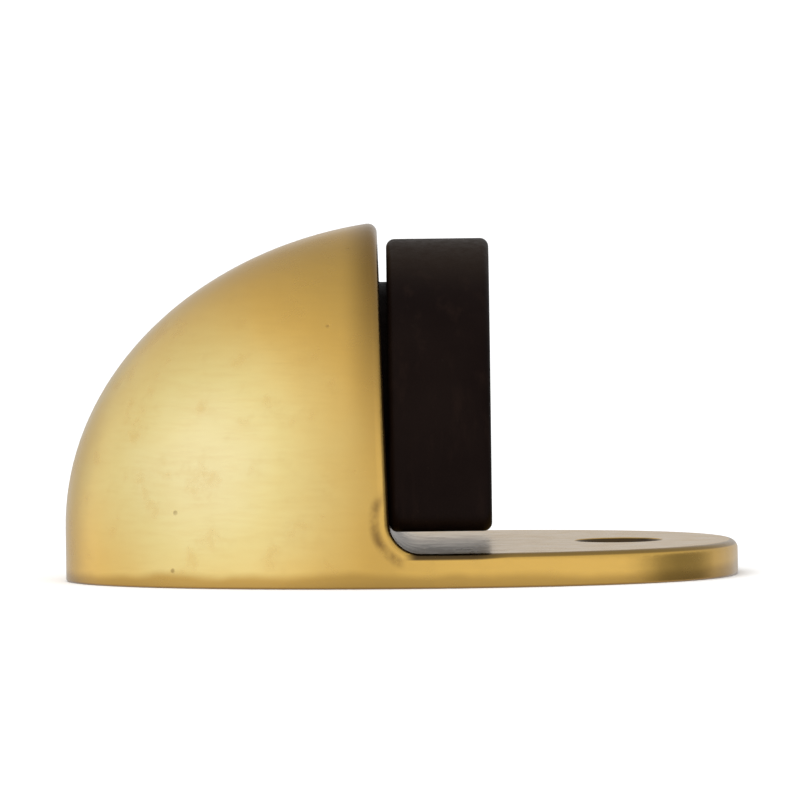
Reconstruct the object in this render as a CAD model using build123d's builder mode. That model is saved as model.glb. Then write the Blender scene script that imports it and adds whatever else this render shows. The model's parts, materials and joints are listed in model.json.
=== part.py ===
from build123d import *

import math
import os

# Floor door stop: a brass hood and plate in one piece, with a rubber buffer.
#
# The hood is a quarter of an ellipsoid on a short upright band, hollow below. Its open side
# is closed by a wall that leans back a little, and the plate runs on from the wall's foot.
# The door swings over the plate and meets the buffer, which one machine screw clamps
# against the wall, with its nut inside the hood. The plate takes one countersunk screw
# into the floor.
#
# Frame: origin on the floor under the middle of the overall box, +X from the hood to the
# plate's tip, +Z up. The stop is symmetric about the XZ plane. Millimetres.

# Overall plan: half an ellipse behind, and a blunter nose in front.
LENGTH = 66.0
WIDTH = 44.0
PLAN_CENTRE_X = 3.2  # where the two meet, the widest place
BACK_REACH = LENGTH / 2 + PLAN_CENTRE_X
FRONT_REACH = LENGTH / 2 - PLAN_CENTRE_X
NOSE_SIDE_PULL = 0.45  # handles of the nose's curve, as shares of its reach and half width
NOSE_TIP_PULL = 0.8

# Hood.
BAND_HEIGHT = 5.2  # upright part below the dome
DOME_HEIGHT = 30.0
HOOD_THICKNESS = 3.0
WALL_THICKNESS = 3.0
WALL_FOOT_X = -1.15  # the wall's front at the plate's top
WALL_LEAN_DEG = 1.75

# Plate.
PLATE_THICKNESS = 3.35
CORNER_RADIUS = 3.2  # between wall and plate
EDGE_RADIUS = 0.9  # rim of the hood and top edge of the plate
BOTTOM_EDGE_RADIUS = 0.2
FLOOR_HOLE_X = 21.3
FLOOR_HOLE_RADIUS = 2.5
COUNTERSINK_RADIUS = 4.4
COUNTERSINK_DEG = 90

# Rubber buffer, an upright D.
BUFFER_THICKNESS = 10.05
BUFFER_HALF_WIDTH = 20.2
BUFFER_BOTTOM_Z = 5.35
BUFFER_HEIGHT = 27.85
BUFFER_CORNER_RADIUS = 2.5
BUFFER_EDGE_RADIUS = 0.85
BUFFER_BACK_X = -1.2
PAD_SIDE_INSET = 4.2  # from the buffer's outline to the raised pad on its back
PAD_TOP_INSET = 4.2
PAD_BOTTOM_INSET = 2.1
HEAD_POCKET_RADIUS = 4.8
HEAD_POCKET_DEPTH = 5.5

# Where the screw goes through buffer and wall, with an upright seat behind the wall.
SCREW_Z = 18.5
SCREW_HOLE_RADIUS = 2.25
SEAT_X = -4.9
SEAT_RADIUS = 6.0

# M4 fasteners.
SCREW_RADIUS = 2.0
SCREW_LENGTH = 16.0
SCREW_TIP_CHAMFER = 0.4
HEAD_RADIUS = 4.0
HEAD_HEIGHT = 3.1
HEAD_EDGE_HEIGHT = 1.0  # upright part of the pan head
RECESS_WIDTH = 4.4
RECESS_SLOT = 1.0
RECESS_DEPTH = 1.9
RECESS_TAPER_DEG = 12
WASHER_RADIUS = 4.5
WASHER_HOLE_RADIUS = 2.15
WASHER_THICKNESS = 0.8
SPRING_RADIUS = 3.8
SPRING_HOLE_RADIUS = 2.05
SPRING_THICKNESS = 0.9
SPRING_SLIT = 0.6
NUT_FLATS_RADIUS = 3.5
NUT_THICKNESS = 3.2
NUT_CHAMFER_DEG = 30

# The clamped stack along X, from the screw's head to the nut.
BUFFER_FACE_X = BUFFER_BACK_X + BUFFER_THICKNESS
FRONT_WASHER_X = BUFFER_FACE_X - HEAD_POCKET_DEPTH
HEAD_SEAT_X = FRONT_WASHER_X + WASHER_THICKNESS
BACK_WASHER_X = SEAT_X - WASHER_THICKNESS
SPRING_X = BACK_WASHER_X - SPRING_THICKNESS
NUT_X = SPRING_X - NUT_THICKNESS

CLEAR = 1.0  # how far a cutting tool runs past what it cuts


def wall_front_x(z):
    """Where the wall's leaning front is, at a height."""
    return WALL_FOOT_X - (z - PLATE_THICKNESS) * math.tan(math.radians(WALL_LEAN_DEG))


def wall_plane(behind):
    """The wall's front, or a plane parallel to it inside or behind the wall, facing forward."""
    lean = math.radians(WALL_LEAN_DEG)
    foot = (WALL_FOOT_X - behind / math.cos(lean), 0, PLATE_THICKNESS)
    return Plane(origin=foot, x_dir=(0, 1, 0), z_dir=(math.cos(lean), 0, math.sin(lean)))


def plan_outline(inset):
    """Plan of the whole stop, or of the hood's hollow when inset by the hood's thickness."""
    half_width = WIDTH / 2 - inset
    side_x = PLAN_CENTRE_X + NOSE_SIDE_PULL * (FRONT_REACH - inset)
    tip_x = PLAN_CENTRE_X + FRONT_REACH - inset
    with BuildSketch() as plan:
        with BuildLine():
            for y in (half_width, -half_width):
                Bezier((PLAN_CENTRE_X, y), (side_x, y), (tip_x, NOSE_TIP_PULL * y), (tip_x, 0))
            EllipticalCenterArc(
                (PLAN_CENTRE_X, 0), BACK_REACH - inset, half_width, 90, arc_size=180
            )
        make_face()
    return plan.sketch


def half_ellipsoid(inset):
    """The dome's outside, or its inside when inset, as an upper half ellipsoid."""
    reach = BACK_REACH - inset
    height = DOME_HEIGHT - inset
    with BuildPart() as body:
        with BuildSketch(Plane.XZ):
            with BuildLine():
                EllipticalCenterArc((0, 0), reach, height, 0, arc_size=90)
                Polyline((0, height), (0, 0), (reach, 0))
            make_face()
        revolve(axis=Axis.Z)
        scale(by=(1, (WIDTH / 2 - inset) / reach, 1))
    return body.part.moved(Location((PLAN_CENTRE_X, 0, BAND_HEIGHT)))


def domed_block(inset, foot_z):
    """Upright band with the dome on it, before anything is cut away in front."""
    with BuildPart() as block:
        add(plan_outline(inset).moved(Location((0, 0, foot_z))))
        extrude(amount=BAND_HEIGHT - foot_z)
        add(half_ellipsoid(inset))
    return block.part


def upright_d(bottom_z, half_width, height):
    """Half an ellipse standing on its straight side, drawn across X."""
    with BuildSketch() as outline:
        with BuildLine():
            EllipticalCenterArc((0, bottom_z), half_width, height, 0, arc_size=180)
            Line((-half_width, bottom_z), (half_width, bottom_z))
        make_face()
    return outline.sketch


def across_screw(x):
    """Plane across the screw at x, with its origin on the screw's axis and facing forward."""
    return Plane(origin=(x, 0, SCREW_Z), x_dir=(0, 1, 0), z_dir=(1, 0, 0))


def ring(x, radius, hole_radius, thickness):
    """A flat washer on the screw's axis, from x forward."""
    with BuildPart() as washer:
        with BuildSketch(across_screw(x)):
            Circle(radius)
            Circle(hole_radius, mode=Mode.SUBTRACT)
        extrude(amount=thickness)
    return washer.part


# ---- hood, wall and plate in one piece ----
TOP_Z = BAND_HEIGHT + DOME_HEIGHT + CLEAR

# The space under the hood, up to a plane that keeps the wall's thickness.
with BuildPart() as hollow:
    add(domed_block(HOOD_THICKNESS, -CLEAR))
    split(bisect_by=wall_plane(WALL_THICKNESS), keep=Keep.BOTTOM)

with BuildPart() as shield_base:
    add(domed_block(0, 0))
    fillet(shield_base.faces().sort_by(Axis.Z)[0].edges(), BOTTOM_EDGE_RADIUS)
    with BuildSketch(Plane.XZ) as side_view:
        with BuildLine():
            Polyline(
                (-LENGTH, 0),
                (LENGTH, 0),
                (LENGTH, PLATE_THICKNESS),
                (WALL_FOOT_X, PLATE_THICKNESS),
                (wall_front_x(TOP_Z), TOP_Z),
                (-LENGTH, TOP_Z),
                close=True,
            )
        make_face()
        corner = side_view.vertices().sort_by_distance((WALL_FOOT_X, PLATE_THICKNESS, 0))[0]
        fillet(corner, CORNER_RADIUS)
    extrude(amount=WIDTH, both=True, mode=Mode.INTERSECT)
    fillet(shield_base.edges().filter_by(GeomType.BSPLINE), EDGE_RADIUS)
    add(hollow.part, mode=Mode.SUBTRACT)
    with BuildSketch(across_screw(SEAT_X)):
        Circle(SEAT_RADIUS)
    extrude(amount=WALL_THICKNESS / 2)
    with Locations(across_screw(0).location):
        Hole(SCREW_HOLE_RADIUS, depth=-SEAT_X + CLEAR)
    with Locations((FLOOR_HOLE_X, 0, PLATE_THICKNESS)):
        CounterSinkHole(
            FLOOR_HOLE_RADIUS,
            COUNTERSINK_RADIUS,
            depth=PLATE_THICKNESS,
            counter_sink_angle=COUNTERSINK_DEG,
        )

# ---- rubber buffer, with a pad on its back that lies flat on the leaning wall ----
with BuildPart() as buffer_pad:
    with BuildSketch(Plane.YZ.offset(BUFFER_BACK_X)):
        add(
            upright_d(
                BUFFER_BOTTOM_Z + PAD_BOTTOM_INSET,
                BUFFER_HALF_WIDTH - PAD_SIDE_INSET,
                BUFFER_HEIGHT - PAD_BOTTOM_INSET - PAD_TOP_INSET,
            )
        )
    extrude(amount=WALL_THICKNESS, both=True)
    split(bisect_by=wall_plane(0), keep=Keep.TOP)

with BuildPart() as rubber_buffer:
    with BuildSketch(Plane.YZ.offset(BUFFER_BACK_X)):
        add(upright_d(BUFFER_BOTTOM_Z, BUFFER_HALF_WIDTH, BUFFER_HEIGHT))
    extrude(amount=BUFFER_THICKNESS)
    fillet(rubber_buffer.edges().filter_by(Axis.X), BUFFER_CORNER_RADIUS)
    fillet(rubber_buffer.edges().filter_by(Axis.X, reverse=True), BUFFER_EDGE_RADIUS)
    add(buffer_pad.part)
    with Locations(across_screw(BUFFER_FACE_X).location):
        CounterBoreHole(
            SCREW_HOLE_RADIUS, HEAD_POCKET_RADIUS, HEAD_POCKET_DEPTH, depth=BUFFER_THICKNESS + CLEAR
        )

# ---- machine screw, its head forward ----
with BuildPart() as buffer_screw:
    with BuildSketch(across_screw(HEAD_SEAT_X - SCREW_LENGTH)):
        Circle(SCREW_RADIUS)
    extrude(amount=SCREW_LENGTH)
    chamfer(buffer_screw.edges().sort_by(Axis.X)[0], SCREW_TIP_CHAMFER)
    with BuildSketch(across_screw(HEAD_SEAT_X)):
        Circle(HEAD_RADIUS)
    extrude(amount=HEAD_HEIGHT)
    fillet(buffer_screw.edges().sort_by(Axis.X)[-1], HEAD_HEIGHT - HEAD_EDGE_HEIGHT)
    with BuildSketch(across_screw(HEAD_SEAT_X + HEAD_HEIGHT)):
        Rectangle(RECESS_WIDTH, RECESS_SLOT)
        Rectangle(RECESS_SLOT, RECESS_WIDTH)
    extrude(amount=-RECESS_DEPTH, taper=RECESS_TAPER_DEG, mode=Mode.SUBTRACT)

# ---- washers ----
with BuildPart() as front_washer:
    add(ring(FRONT_WASHER_X, WASHER_RADIUS, WASHER_HOLE_RADIUS, WASHER_THICKNESS))

with BuildPart() as back_washer:
    add(ring(BACK_WASHER_X, WASHER_RADIUS, WASHER_HOLE_RADIUS, WASHER_THICKNESS))

with BuildPart() as spring_washer:
    add(ring(SPRING_X, SPRING_RADIUS, SPRING_HOLE_RADIUS, SPRING_THICKNESS))
    with BuildSketch(across_screw(SPRING_X)):
        with Locations((0, SPRING_RADIUS)):
            Rectangle(SPRING_SLIT, 2 * SPRING_RADIUS - 2 * SPRING_HOLE_RADIUS + CLEAR)
    extrude(amount=SPRING_THICKNESS, mode=Mode.SUBTRACT)

# ---- nut, with both faces' corners turned off ----
NUT_CORNER_RADIUS = NUT_FLATS_RADIUS / math.cos(math.radians(30))
NUT_CORNER_FALL = (NUT_CORNER_RADIUS - NUT_FLATS_RADIUS) * math.tan(math.radians(NUT_CHAMFER_DEG))

with BuildPart() as hex_nut:
    with BuildSketch(across_screw(NUT_X)):
        RegularPolygon(NUT_FLATS_RADIUS, 6, major_radius=False)
    extrude(amount=NUT_THICKNESS)
    with BuildSketch(Plane.XZ):
        with BuildLine():
            Polyline(
                (NUT_X, SCREW_Z),
                (NUT_X, SCREW_Z + NUT_FLATS_RADIUS),
                (NUT_X + NUT_CORNER_FALL, SCREW_Z + NUT_CORNER_RADIUS),
                (NUT_X + NUT_THICKNESS - NUT_CORNER_FALL, SCREW_Z + NUT_CORNER_RADIUS),
                (NUT_X + NUT_THICKNESS, SCREW_Z + NUT_FLATS_RADIUS),
                (NUT_X + NUT_THICKNESS, SCREW_Z),
                close=True,
            )
        make_face()
    revolve(axis=Axis((0, 0, SCREW_Z), (1, 0, 0)), mode=Mode.INTERSECT)
    with Locations(across_screw(NUT_X + NUT_THICKNESS).location):
        Hole(SCREW_RADIUS, depth=NUT_THICKNESS)

# ---- one file for each piece ----
PIECES = {
    "shield_base": shield_base,
    "rubber_buffer": rubber_buffer,
    "buffer_screw": buffer_screw,
    "front_washer": front_washer,
    "back_washer": back_washer,
    "spring_washer": spring_washer,
    "hex_nut": hex_nut,
}
os.makedirs("parts", exist_ok=True)
for name, piece in PIECES.items():
    piece.part.label = name
    export_step(piece.part, f"parts/{name}.step")
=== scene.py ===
"""Floor door stop: polished brass hood and plate with a black rubber buffer, on a pale floor."""

import json
import math

import bmesh
import bpy
from mathutils import Matrix, Vector


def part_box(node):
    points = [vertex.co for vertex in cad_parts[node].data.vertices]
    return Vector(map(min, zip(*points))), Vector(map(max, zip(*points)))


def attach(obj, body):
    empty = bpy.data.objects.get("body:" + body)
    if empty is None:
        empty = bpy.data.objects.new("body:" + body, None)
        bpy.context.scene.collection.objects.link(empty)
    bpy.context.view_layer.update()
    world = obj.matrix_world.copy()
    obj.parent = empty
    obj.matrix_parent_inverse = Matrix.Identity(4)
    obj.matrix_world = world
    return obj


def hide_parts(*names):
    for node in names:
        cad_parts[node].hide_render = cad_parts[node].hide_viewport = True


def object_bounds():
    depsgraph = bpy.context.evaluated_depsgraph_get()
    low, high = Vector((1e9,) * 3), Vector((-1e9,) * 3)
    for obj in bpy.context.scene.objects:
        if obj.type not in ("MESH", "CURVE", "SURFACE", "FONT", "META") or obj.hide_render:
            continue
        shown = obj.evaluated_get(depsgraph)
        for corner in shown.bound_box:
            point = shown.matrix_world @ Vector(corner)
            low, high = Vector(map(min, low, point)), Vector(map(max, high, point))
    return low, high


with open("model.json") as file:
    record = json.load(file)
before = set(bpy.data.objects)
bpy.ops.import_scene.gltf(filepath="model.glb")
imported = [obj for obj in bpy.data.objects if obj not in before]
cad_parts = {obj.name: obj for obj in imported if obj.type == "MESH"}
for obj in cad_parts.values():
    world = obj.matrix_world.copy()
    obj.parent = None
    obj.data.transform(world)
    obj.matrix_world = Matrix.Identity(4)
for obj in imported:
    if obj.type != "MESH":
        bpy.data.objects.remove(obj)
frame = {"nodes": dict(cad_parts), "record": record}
CAD_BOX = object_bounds()

MM = 0.001

# ---------------------------------------------------------------- camera
CAMERA_DISTANCE = 2.5
CAMERA_ELEVATION_DEG = 2.8
CAMERA_ROLL_DEG = 0.7
LENGTH_IN_VIEW = 0.84  # share of the picture's width that the stop takes up
SENSOR_WIDTH = 36.0
CLIPPING = (0.01, 50.0)


def add_camera():
    """Looks at the near side from far off and only a little above, so the view is nearly flat."""
    low, high = (Vector(corner) for corner in CAD_BOX)
    middle = (low + high) / 2
    elevation = math.radians(CAMERA_ELEVATION_DEG)
    away = Vector((0, -math.cos(elevation), math.sin(elevation)))
    data = bpy.data.cameras.new("camera")
    data.sensor_width = SENSOR_WIDTH
    data.lens = SENSOR_WIDTH * CAMERA_DISTANCE * LENGTH_IN_VIEW / (high.x - low.x)
    data.clip_start, data.clip_end = CLIPPING
    camera = bpy.data.objects.new("camera", data)
    turn = (-away).to_track_quat("-Z", "Y").to_matrix().to_4x4()
    roll = Matrix.Rotation(math.radians(-CAMERA_ROLL_DEG), 4, "Z")
    camera.matrix_world = Matrix.Translation(middle + away * CAMERA_DISTANCE) @ turn @ roll
    bpy.context.scene.collection.objects.link(camera)
    bpy.context.scene.camera = camera


# ---------------------------------------------------------------- materials
class Material:
    """A node material on a Principled shader, with short ways to add the nodes it needs."""

    def __init__(self, name):
        self.data = bpy.data.materials.new(name)
        self.data.use_nodes = True
        self.tree = self.data.node_tree
        self.shader = self.tree.nodes["Principled BSDF"]
        point = self.add("SeparateXYZ", {0: self.place()})
        self.along = point.outputs["X"]
        self.height = point.outputs["Z"]

    def put(self, node, values):
        """Links the values that are sockets, and sets the others."""
        for key, value in values.items():
            socket = node.inputs[key]
            if isinstance(value, bpy.types.NodeSocket):
                self.tree.links.new(value, socket)
            else:
                socket.default_value = value

    def add(self, kind, values=None, **settings):
        node = self.tree.nodes.new("ShaderNode" + kind)
        for key, value in settings.items():
            setattr(node, key, value)
        self.put(node, values or {})
        return node

    def place(self, scale=(1, 1, 1), shift=(0, 0, 0)):
        """The point on the object in metres, stretched and moved."""
        point = self.add("TexCoord").outputs["Object"]
        return self.add("Mapping", {"Vector": point, "Scale": scale, "Location": shift}).outputs[0]

    def reach(self, centre, scale=(1, 1, 1)):
        """Distance from a point, or from the line through it along each way whose scale is 0."""
        shift = [-place * stretch for place, stretch in zip(centre, scale)]
        return self.add("VectorMath", {0: self.place(scale, shift)}, operation="LENGTH").outputs["Value"]

    def noise(self, scale, detail, rough, stretch=(1, 1, 1), shift=(0, 0, 0)):
        point = self.place(stretch, shift)
        values = {"Vector": point, "Scale": scale, "Detail": detail, "Roughness": rough}
        return self.add("TexNoise", values).outputs["Fac"]

    def band(self, value, low, high, to_low=0.0, to_high=1.0):
        """Smoothly from to_low where value is below low, to to_high where it is above high."""
        values = {"Value": value, 1: low, 2: high, 3: to_low, 4: to_high}
        return self.add("MapRange", values, interpolation_type="SMOOTHSTEP").outputs["Result"]

    def math(self, operation, first, second=0.0):
        return self.add("Math", {0: first, 1: second}, operation=operation).outputs[0]

    def times(self, first, *others):
        for other in others:
            first = self.math("MULTIPLY", first, other)
        return first

    def mix(self, share, first, second):
        """Colour: the first where share is 0, the second where it is 1."""
        node = self.add("Mix", data_type="RGBA")
        for index, value in ((0, share), (6, first), (7, second)):
            if isinstance(value, tuple):
                value = (*value, 1)
            self.put(node, {index: value})
        return node.outputs[2]

    def bump(self, height, distance, under=None):
        values = {"Height": height, "Distance": distance}
        if under is not None:
            values["Normal"] = under
        return self.add("Bump", values).outputs[0]


# ---------------------------------------------------------------- brass
PAINTED_HIGHLIGHT_BRASS = (0.85, 0.73, 0.38)
PAINTED_HIGHLIGHT_FRINGE_BRASS = (0.81, 0.665, 0.28)
DEEP_BRASS = (0.79, 0.49, 0.115)
AGED_BRASS = (0.70, 0.43, 0.115)
RIM_DARKENED_BRASS = (0.30, 0.17, 0.04)
PAINTED_SHADOW_REFLECTION_BRASS = (0.52, 0.31, 0.07)
CAST_BRASS = (0.42, 0.27, 0.10)
# Real tarnish in the pits, and also painted shade and a painted dark reflection.
TARNISH_AND_PAINTED_SHADE = (0.20, 0.10, 0.028)
PAINTED_EDGE_REFLECTION = (0.05, 0.027, 0.012)
PAINTED_HOLE_SHADE = (0.030, 0.018, 0.014)

PLATE_TOP = 3.35 * MM
HOLE = frame["record"]["mounts"][0]["pos_m"]
HOLE_RADIUS = 2.5 * MM
COUNTERSINK_RADIUS = 4.4 * MM
EDGE_REFLECTION_DEPTH = 0.45 * MM  # below the plate's top
EDGE_REFLECTION_DEPTH_BESIDE_BUFFER = 0.65 * MM
DOME_CENTRE = (3.2 * MM, 0, 5.2 * MM)
HOLLOW_AXES = (34.7 * MM, 20.5 * MM, 28.5 * MM)  # half axes, halfway through the hood's thickness
PAINTED_HIGHLIGHT_CENTRE = (-19.5 * MM, -19 * MM, 12 * MM)  # the centre of the painted highlight, on the hood's near side
PAINTED_HIGHLIGHT_SCALE = (1, 0.35, 1)  # it fades more slowly towards the far side
CORNER_CENTRE = (1.95 * MM, 0, 6.55 * MM)  # of the round corner between wall and plate
STREAK_RADIUS = 4.5 * MM  # of the streak of painted dark reflection round that corner
STREAK_HALF_WIDTH = 0.75 * MM
PAINTED_SHADE_REACH = 2.2 * MM


def painted_hole_shade_mask(brass):
    """Where shade is painted: 1 on the walls of the floor screw's hole and its countersink, 0 elsewhere.
    """
    cone_radius = brass.math("ADD", brass.height, COUNTERSINK_RADIUS - PLATE_TOP)
    hole_radius = brass.math("MAXIMUM", cone_radius, HOLE_RADIUS)
    beyond = brass.math("SUBTRACT", brass.reach(HOLE, (1, 1, 0)), hole_radius)
    below_top = brass.band(brass.height, PLATE_TOP - 0.12 * MM, PLATE_TOP - 0.02 * MM, 1, 0)
    return brass.times(brass.band(beyond, 0.05 * MM, 0.12 * MM, 1, 0), below_top)


def cast_mark(brass):
    """1 in the hollow under the hood, which is left as it was cast, and 0 elsewhere."""
    scale = (HOLLOW_AXES[2] / HOLLOW_AXES[0], HOLLOW_AXES[2] / HOLLOW_AXES[1], 1)
    dome = brass.reach(DOME_CENTRE, scale)
    under = brass.band(dome, HOLLOW_AXES[2] - 0.2 * MM, HOLLOW_AXES[2] + 0.2 * MM, 1, 0)
    behind_wall = brass.band(brass.along, -3.4 * MM, -2.9 * MM, 1, 0)
    return brass.times(under, behind_wall)


def painted_reflection_streak(brass, cloud):
    """A thin, broken painted dark reflection that follows the corner between wall and plate."""
    bend = brass.band(cloud, 0.2, 0.8, -0.35 * MM, 0.35 * MM)
    away = brass.math("SUBTRACT", brass.reach(CORNER_CENTRE, (1, 0, 1)), STREAK_RADIUS)
    off = brass.math("ABSOLUTE", brass.math("ADD", away, bend))
    line = brass.band(off, 0, STREAK_HALF_WIDTH, 1, 0)
    behind_corner = brass.band(brass.along, -0.5 * MM, 0.5 * MM, 1, 0)
    low = brass.band(brass.height, 7.5 * MM, 10 * MM, 1, 0)
    broken = brass.band(brass.noise(330, 3, 0.7, shift=(0, 0, 0.7)), 0.3, 0.65, 0.15, 1)
    return brass.times(line, behind_corner, low, broken)


def painted_edge_reflection_mask(brass):
    """A painted dark reflection on the rounding of the plate's top edge, widest beside the buffer."""
    beside_buffer = brass.band(brass.along, 6 * MM, 12 * MM, 1, 0)
    depths = (EDGE_REFLECTION_DEPTH, EDGE_REFLECTION_DEPTH_BESIDE_BUFFER)
    depth = brass.math("SUBTRACT", PLATE_TOP, brass.height)
    share = brass.math("DIVIDE", depth, brass.band(beside_buffer, 0, 1, *depths))
    rounding = brass.times(brass.band(share, 0.0, 0.06), brass.band(share, 0.7, 1.05, 1, 0))
    before_wall = brass.band(brass.along, 0, 1.5 * MM)
    strength = brass.band(beside_buffer, 0, 1, 0.55, 0.9)
    off_hole = brass.band(brass.reach(HOLE, (1, 1, 0)), COUNTERSINK_RADIUS + 0.1 * MM, 5 * MM)
    return brass.times(rounding, before_wall, strength, off_hole)


def colour_with_painted_light(brass, cloud, patch, cast):
    """A painted highlight, palest round its centre and deeper away from it, with brushed lines and aged
    patches, darker near the hood's rim, and a painted reflection of the stop's shadow along the bottom.
    """
    sway = brass.band(cloud, 0.2, 0.8, -5 * MM, 5 * MM)
    # Painted highlight: pale round its centre on the hood's near side, deeper further off.
    highlight_reach = brass.math("ADD", brass.reach(PAINTED_HIGHLIGHT_CENTRE, PAINTED_HIGHLIGHT_SCALE), brass.times(sway, 0.3))
    colour = brass.mix(brass.band(highlight_reach, 2 * MM, 9 * MM), PAINTED_HIGHLIGHT_BRASS, PAINTED_HIGHLIGHT_FRINGE_BRASS)
    colour = brass.mix(brass.band(highlight_reach, 6 * MM, 19 * MM), colour, DEEP_BRASS)
    colour = brass.mix(cast, colour, CAST_BRASS)
    brushed = brass.band(brass.noise(230, 4, 0.65, stretch=(1, 1, 7)), 0.35, 0.75, 0, 0.14)
    colour = brass.mix(brushed, colour, AGED_BRASS)
    colour = brass.mix(brass.band(patch, 0.5, 0.8, 0, 0.35), colour, AGED_BRASS)
    # Darker near the hood's rim, more so higher up.
    near_rim = brass.band(brass.along, -6 * MM, -2.2 * MM)
    on_hood = brass.band(brass.along, -1 * MM, 0, 1, 0)
    by_rim = brass.times(near_rim, on_hood, brass.band(brass.height, 8 * MM, 33 * MM, 0.1, 0.95))
    colour = brass.mix(by_rim, colour, RIM_DARKENED_BRASS)
    # Painted reflection of the stop's shadow on the floor: darker along the bottom.
    low = brass.math("ADD", brass.height, brass.times(sway, 0.12))
    return brass.mix(brass.band(low, 0.6 * MM, 1.7 * MM, 0.9, 0), colour, PAINTED_SHADOW_REFLECTION_BRASS)


def tarnish_and_painted_shade_colour(brass, colour, cloud, pit):
    """Tarnish in the pits, a painted dark reflection in the streak and on the plate's edge, painted
    shade in the crevices and in the floor screw's hole.
    """
    colour = brass.mix(brass.times(pit, 0.4), colour, TARNISH_AND_PAINTED_SHADE)
    # Painted dark reflection along the corner between wall and plate.
    colour = brass.mix(brass.times(painted_reflection_streak(brass, cloud), 0.75), colour, TARNISH_AND_PAINTED_SHADE)
    # Painted dark reflection of the buffer on the plate's top edge.
    colour = brass.mix(painted_edge_reflection_mask(brass), colour, PAINTED_EDGE_REFLECTION)
    # Painted shade: darker in the crevices that ambient occlusion finds.
    openness = brass.add("AmbientOcclusion", {"Distance": PAINTED_SHADE_REACH}, samples=8).outputs["AO"]
    colour = brass.mix(brass.band(openness, 0.15, 0.8, 0.8, 0), colour, TARNISH_AND_PAINTED_SHADE)
    # Painted shade in the floor screw's hole and its countersink.
    return brass.mix(brass.times(painted_hole_shade_mask(brass), 0.93), colour, PAINTED_HOLE_SHADE)


def brass_bumps(brass, cloud, pit, cast):
    """Ripples, polishing lines, grain, pits, and the rough sand-cast hollow."""
    lines = brass.noise(60, 5, 0.7, stretch=(3, 3, 40))
    grain = brass.noise(2600, 2, 0.5)
    sand = brass.times(brass.noise(1500, 4, 0.7, shift=(0, 0.5, 0)), cast)
    rippled = brass.bump(cloud, 0.12 * MM)
    scratched = brass.bump(lines, 0.012 * MM, under=rippled)
    grained = brass.bump(grain, 0.0025 * MM, under=scratched)
    pitted = brass.bump(brass.math("SUBTRACT", 1.0, pit), 0.02 * MM, under=grained)
    return brass.bump(sand, 0.15 * MM, under=pitted)


def brass_material():
    brass = Material("polished_brass")
    cloud = brass.noise(70, 3, 0.55)
    patch = brass.noise(330, 4, 0.6, shift=(0.3, 0.1, 0))
    spots = brass.add("TexVoronoi", {"Vector": brass.place(), "Scale": 260}).outputs["Distance"]
    rare = brass.band(brass.noise(150, 1, 0.5, shift=(0, 0.2, 0.1)), 0.56, 0.60)
    pit = brass.times(brass.band(spots, 0.04, 0.085, 1, 0), rare)
    cast = cast_mark(brass)
    colour = colour_with_painted_light(brass, cloud, patch, cast)
    rough = brass.math("ADD", brass.band(patch, 0.3, 0.8, 0.20, 0.30), brass.times(pit, 0.3))
    rough = brass.math("ADD", rough, brass.times(cast, 0.3))
    brass.put(brass.shader, {
        "Base Color": tarnish_and_painted_shade_colour(brass, colour, cloud, pit),
        "Metallic": 1.0,
        "Roughness": rough,
        "Normal": brass_bumps(brass, cloud, pit, cast),
        "Coat Weight": 0.25,
        "Coat Roughness": 0.1,
        "Coat IOR": 1.5,
    })
    return brass.data


# ---------------------------------------------------------------- rubber
RUBBER_DARK = (0.0030, 0.0013, 0.0012)
RUBBER_LIGHT = (0.0050, 0.0026, 0.0021)
RUBBER_WIPED = (0.0095, 0.0048, 0.0034)
RUBBER_PAINTED_TOP_LIGHT = (0.018, 0.0110, 0.0065)
RUBBER_DUST = (0.016, 0.012, 0.009)
RUBBER_SHINE = (1.0, 0.74, 0.64, 1)


def rubber_material():
    """Warm black, wiped in upright streaks, with painted light that makes it paler at the top, and a
    little dusty.
    """
    rubber = Material("black_rubber")
    cloud = rubber.noise(90, 3, 0.6)
    wiped = rubber.noise(220, 3, 0.6, stretch=(3, 3, 0.35), shift=(0.2, 0, 0))
    dust = rubber.noise(900, 5, 0.7, shift=(0.1, 0, 0.4))
    grain = rubber.noise(5200, 2, 0.6)
    colour = rubber.mix(rubber.band(cloud, 0.3, 0.7), RUBBER_DARK, RUBBER_LIGHT)
    colour = rubber.mix(rubber.band(wiped, 0.5, 0.75, 0, 0.5), colour, RUBBER_WIPED)
    # Painted light from above: paler towards the top.
    colour = rubber.mix(rubber.band(rubber.height, 28 * MM, 33 * MM, 0, 0.6), colour, RUBBER_PAINTED_TOP_LIGHT)
    colour = rubber.mix(rubber.band(dust, 0.6, 0.8, 0, 0.3), colour, RUBBER_DUST)
    rubber.put(rubber.shader, {
        "Base Color": colour,
        "Roughness": rubber.band(dust, 0.3, 0.75, 0.42, 0.58),
        "Specular IOR Level": 0.08,
        "Specular Tint": RUBBER_SHINE,
        "Normal": rubber.bump(grain, 0.012 * MM, under=rubber.bump(cloud, 0.10 * MM)),
    })
    return rubber.data


# ---------------------------------------------------------------- steel
BRIGHT_ZINC = (0.66, 0.67, 0.67)
DULL_ZINC = (0.50, 0.50, 0.47)


def steel_material():
    steel = Material("zinc_plated_steel")
    cloud = steel.noise(500, 4, 0.6)
    grain = steel.noise(4000, 2, 0.5)
    steel.put(steel.shader, {
        "Base Color": steel.mix(steel.band(cloud, 0.3, 0.7), BRIGHT_ZINC, DULL_ZINC),
        "Metallic": 1.0,
        "Roughness": steel.band(cloud, 0.3, 0.8, 0.26, 0.45),
        "Normal": steel.bump(grain, 0.004 * MM),
    })
    return steel.data


# ---------------------------------------------------------------- finishes of the CAD nodes
BRASS = brass_material()
RUBBER = rubber_material()
STEEL = steel_material()
FINISHES = {"shield_base": BRASS, "rubber_buffer": RUBBER}  # the other nodes are steel


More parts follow.
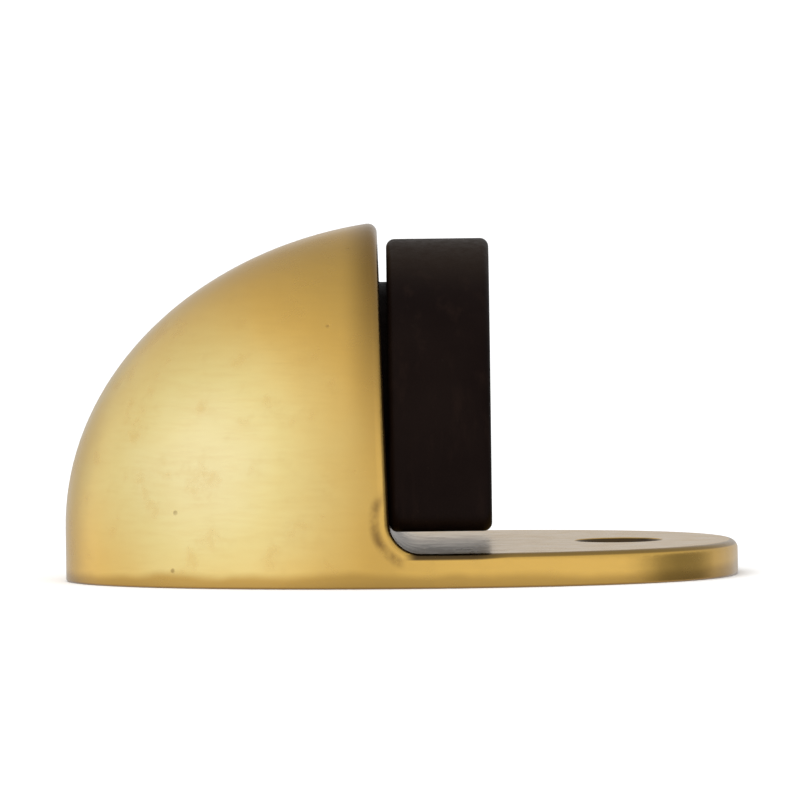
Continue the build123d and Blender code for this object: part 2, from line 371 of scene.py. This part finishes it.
def finish_nodes():
    for name, node in frame["nodes"].items():
        node.data.materials.clear()
        node.data.materials.append(FINISHES.get(name, STEEL))
        for polygon in node.data.polygons:
            polygon.use_smooth = True


# ---------------------------------------------------------------- screw, with a thread on its shank
THREAD_PITCH = 0.7 * MM
THREAD_CREST = 1.99 * MM
THREAD_ROOT = 1.57 * MM
THREAD_STEEPNESS = 1.3  # over 1, so that the crest is flat
ROOT_FLAT = 0.12
RUN_OUT_TURNS = 1.5
TIP_RADIUS = 1.4 * MM
TURN_STEPS = 64
ROWS_PER_PITCH = 12
HEAD_HEIGHT = 3.1 * MM
HEAD_RADIUS = 4.0 * MM
HEAD_ROUND = 2.1 * MM
HEAD_UPRIGHT = 1.0 * MM
HEAD_ROUND_STEPS = 12
UNDER_HEAD_EDGE = 0.12 * MM
RECESS_REACH = 2.15 * MM
RECESS_HALF_SLOT = 0.5 * MM
RECESS_DEPTH = 1.8 * MM
RECESS_NARROWING = 0.5  # share of the cross's size that is left at its bottom
RECESS_PROUD = 0.2  # how far the cutter stands out of the head, as a share of the recess's depth
RECESS_PROUD_SIZE = 1.1  # the cross's size there
SHARP_ANGLE_DEG = 35


def thread_radius(from_tip, part_turn, from_head):
    """A V-shaped thread with small flats, turned down at the tip, running out under the head."""
    phase = (from_tip / THREAD_PITCH - part_turn) % 1
    rise = min(max(THREAD_STEEPNESS * (1 - abs(2 * phase - 1)) - ROOT_FLAT, 0), 1)
    run_out = min(max(RUN_OUT_TURNS - from_head / THREAD_PITCH, 0), 1)
    rise = rise + (1 - rise) * run_out
    radius = THREAD_ROOT + (THREAD_CREST - THREAD_ROOT) * rise
    return min(radius, TIP_RADIUS + from_tip)


def shank_rows(length):
    """Each row's place along the shank, with a radius for each step round it."""
    count = round(length / THREAD_PITCH * ROWS_PER_PITCH)
    for row in range(count + 1):
        from_tip = length * row / count
        turns = (step / TURN_STEPS for step in range(TURN_STEPS))
        yield from_tip, [thread_radius(from_tip, turn, length - from_tip) for turn in turns]


def head_rows(seat):
    """The pan head's rows, from under its edge to its flat top."""
    yield seat, [HEAD_RADIUS - UNDER_HEAD_EDGE] * TURN_STEPS
    yield seat + UNDER_HEAD_EDGE, [HEAD_RADIUS] * TURN_STEPS
    for step in range(HEAD_ROUND_STEPS + 1):
        angle = math.radians(90 * step / HEAD_ROUND_STEPS)
        place = seat + HEAD_UPRIGHT + HEAD_ROUND * math.sin(angle)
        yield place, [HEAD_RADIUS - HEAD_ROUND * (1 - math.cos(angle))] * TURN_STEPS


def new_piece(name, form, material):
    mesh = bpy.data.meshes.new(name)
    bmesh.ops.recalc_face_normals(form, faces=form.faces)
    form.to_mesh(mesh)
    form.free()
    mesh.materials.append(material)
    piece = bpy.data.objects.new(name, mesh)
    bpy.context.scene.collection.objects.link(piece)
    return piece


def join_rings(form, rings):
    """Faces between rings of equally many points."""
    for near, far in zip(rings, rings[1:]):
        for index, point in enumerate(near):
            form.faces.new((point, near[index - 1], far[index - 1], far[index]))


def close_ends(form, rings):
    form.faces.new(rings[0])
    form.faces.new(rings[-1])


def screw_body(low, high):
    """Threaded shank and pan head as one closed surface between the corners low and high."""
    form = bmesh.new()
    axis_y, axis_z = (low.y + high.y) / 2, (low.z + high.z) / 2
    length = high.x - low.x - HEAD_HEIGHT
    rings = []
    for place, radii in (*shank_rows(length), *head_rows(length)):
        ring = []
        for step, radius in enumerate(radii):
            angle = math.tau * step / TURN_STEPS
            point = (low.x + place, axis_y + radius * math.cos(angle), axis_z + radius * math.sin(angle))
            ring.append(form.verts.new(point))
        rings.append(ring)
    join_rings(form, rings)
    close_ends(form, rings)
    return new_piece("cross_recess_screw", form, STEEL)


def recess_cutter(low, high):
    """A cross that narrows towards its bottom, and stands a little proud of the head."""
    form = bmesh.new()
    reach, slot = RECESS_REACH, RECESS_HALF_SLOT
    arm = ((slot, slot), (reach, slot), (reach, -slot))
    middle = Vector((high.x, (low.y + high.y) / 2, (low.z + high.z) / 2))
    rings = []
    bottom = (RECESS_DEPTH, RECESS_NARROWING)
    top = (-RECESS_PROUD * RECESS_DEPTH, RECESS_PROUD_SIZE)
    for depth, size in (bottom, top):
        ring = []
        for quarter in range(4):
            turn = Matrix.Rotation(-math.radians(90 * quarter), 2)
            for corner in arm:
                aside, up = turn @ Vector(corner) * size
                ring.append(form.verts.new(middle + Vector((-depth, aside, up))))
        rings.append(ring)
    join_rings(form, rings)
    close_ends(form, rings)
    return new_piece("recess_cutter", form, STEEL)


def add_screw():
    """The screw with its thread and recess, in the place of the plain CAD one."""
    low, high = (Vector(corner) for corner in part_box("buffer_screw"))
    screw = screw_body(low, high)
    cutter = recess_cutter(low, high)
    cut = screw.modifiers.new("recess", "BOOLEAN")
    cut.operation = "DIFFERENCE"
    cut.object = cutter
    depsgraph = bpy.context.evaluated_depsgraph_get()
    finished = bpy.data.meshes.new_from_object(screw.evaluated_get(depsgraph))
    screw.modifiers.clear()
    screw.data = finished
    bpy.data.objects.remove(cutter)
    for polygon in finished.polygons:
        polygon.use_smooth = True
    finished.set_sharp_from_angle(angle=math.radians(SHARP_ANGLE_DEG))
    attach(screw, "root")
    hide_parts("buffer_screw")


# ---------------------------------------------------------------- studio
FLOOR_PALE = (0.93, 0.93, 0.93)
FLOOR_PALEST = (0.95, 0.95, 0.95)
FLOOR_RADIUS = 20.0
FLOOR_LEVEL = -0.02 * MM
FLOOR_OPENING = (30.5 * MM, 19.8 * MM)  # half axes, a little inside the stop's outline
FLOOR_STEPS = 96


def floor_material():
    floor = Material("floor")
    floor.put(floor.shader, {
        "Base Color": floor.mix(floor.noise(3, 3, 0.5), FLOOR_PALE, FLOOR_PALEST),
        "Roughness": 0.8,
        "Specular IOR Level": 0.1,
    })
    return floor.data


def add_floor():
    """A wide floor, open under the stop so that its underside shows from below."""
    form = bmesh.new()
    rings = []
    for reach_x, reach_y in (FLOOR_OPENING, (FLOOR_RADIUS, FLOOR_RADIUS)):
        turns = (math.tau * step / FLOOR_STEPS for step in range(FLOOR_STEPS))
        places = ((reach_x * math.cos(turn), reach_y * math.sin(turn), FLOOR_LEVEL) for turn in turns)
        rings.append([form.verts.new(place) for place in places])
    join_rings(form, rings)
    floor = new_piece("floor", form, floor_material())
    floor.visible_glossy = False


# The studio's brightness from left (-1) to right (1) seen from the camera: a large soft box on
# the left, pale walls in front, and a dark side wall on the right.
STUDIO_WALLS = ((-1.0, 0.93), (-0.85, 1.06), (-0.55, 1.08), (-0.2, 0.76), (0.1, 0.90),
                (0.84, 0.93), (0.95, 0.40), (1.0, 0.30))
RAMP_TOP = 1.2  # brightness that the ramp's white stands for
DIM_SIDE = (0.25, 0.5, 0.6)  # the way in which the studio gets darker
OVERHEAD_LEVEL = 0.55  # share of the walls' brightness that is left that way
FAR_LEVEL = 0.62  # brightness of the far side near the horizon
SUN_DIRECTION = (-0.2, -0.3, 1)  # from the stop towards it
SUN_SPREAD_DEG = 80
SUN_STRENGTH = 1.95


def world_node(tree, kind, values, **settings):
    """A new node, with the sockets among its values linked and the others set."""
    node = tree.nodes.new("ShaderNode" + kind)
    for key, value in settings.items():
        setattr(node, key, value)
    for key, value in values.items():
        if isinstance(value, bpy.types.NodeSocket):
            tree.links.new(value, node.inputs[key])
        else:
            node.inputs[key].default_value = value
    return node


def world_math(tree, operation, *values):
    return world_node(tree, "Math", dict(enumerate(values)), operation=operation).outputs[0]


def world_band(tree, value, low, high, to_low=0.0, to_high=1.0, kind="SMOOTHSTEP"):
    values = {0: value, 1: low, 2: high, 3: to_low, 4: to_high}
    return world_node(tree, "MapRange", values, interpolation_type=kind).outputs[0]


def wall_ramp(tree, across):
    """The walls' brightness, along the way across the view."""
    ramp = world_node(tree, "ValToRGB", {0: world_math(tree, "MULTIPLY_ADD", across, 0.5, 0.5)})
    stops = ramp.color_ramp.elements
    while len(stops) < len(STUDIO_WALLS):
        stops.new(0.5)
    for stop, (place, level) in zip(stops, STUDIO_WALLS):
        stop.position = (place + 1) / 2
        stop.color = (level / RAMP_TOP, level / RAMP_TOP, level / RAMP_TOP, 1)
    return world_math(tree, "MULTIPLY", ramp.outputs[0], RAMP_TOP)


def set_world():
    """A pale studio, darker overhead and on its far side."""
    world = bpy.data.worlds.new("studio")
    world.use_nodes = True
    tree = world.node_tree
    direction = world_node(tree, "TexCoord", {}).outputs["Generated"]
    across, back, up = world_node(tree, "SeparateXYZ", {0: direction}).outputs
    values = {0: direction, 1: DIM_SIDE}
    away = world_node(tree, "VectorMath", values, operation="DOT_PRODUCT").outputs["Value"]
    dimming = world_band(tree, away, -0.1, 0.8, 1.0, OVERHEAD_LEVEL, kind="LINEAR")
    level = world_math(tree, "MULTIPLY", wall_ramp(tree, across), dimming)
    near_horizon = world_band(tree, up, 0.15, 0.5, 1.0, 0.0)
    far_side = world_math(tree, "MULTIPLY", world_band(tree, back, 0.35, 0.85), near_horizon)
    level = world_node(tree, "Mix", {0: far_side, 2: level, 3: FAR_LEVEL}).outputs[0]
    background = tree.nodes["Background"]
    background.inputs["Color"].default_value = (1, 1, 1, 1)
    tree.links.new(level, background.inputs["Strength"])
    bpy.context.scene.world = world


def add_sun():
    """Soft light from above, which the brass doesn't mirror."""
    data = bpy.data.lights.new("overhead", "SUN")
    data.energy = SUN_STRENGTH
    data.angle = math.radians(SUN_SPREAD_DEG)
    lamp = bpy.data.objects.new("overhead", data)
    lamp.matrix_world = Vector(SUN_DIRECTION).to_track_quat("Z", "Y").to_matrix().to_4x4()
    lamp.visible_glossy = False
    bpy.context.scene.collection.objects.link(lamp)


finish_nodes()
add_screw()
add_camera()
add_floor()
set_world()
add_sun()
bpy.context.scene.view_settings.view_transform = "Standard"
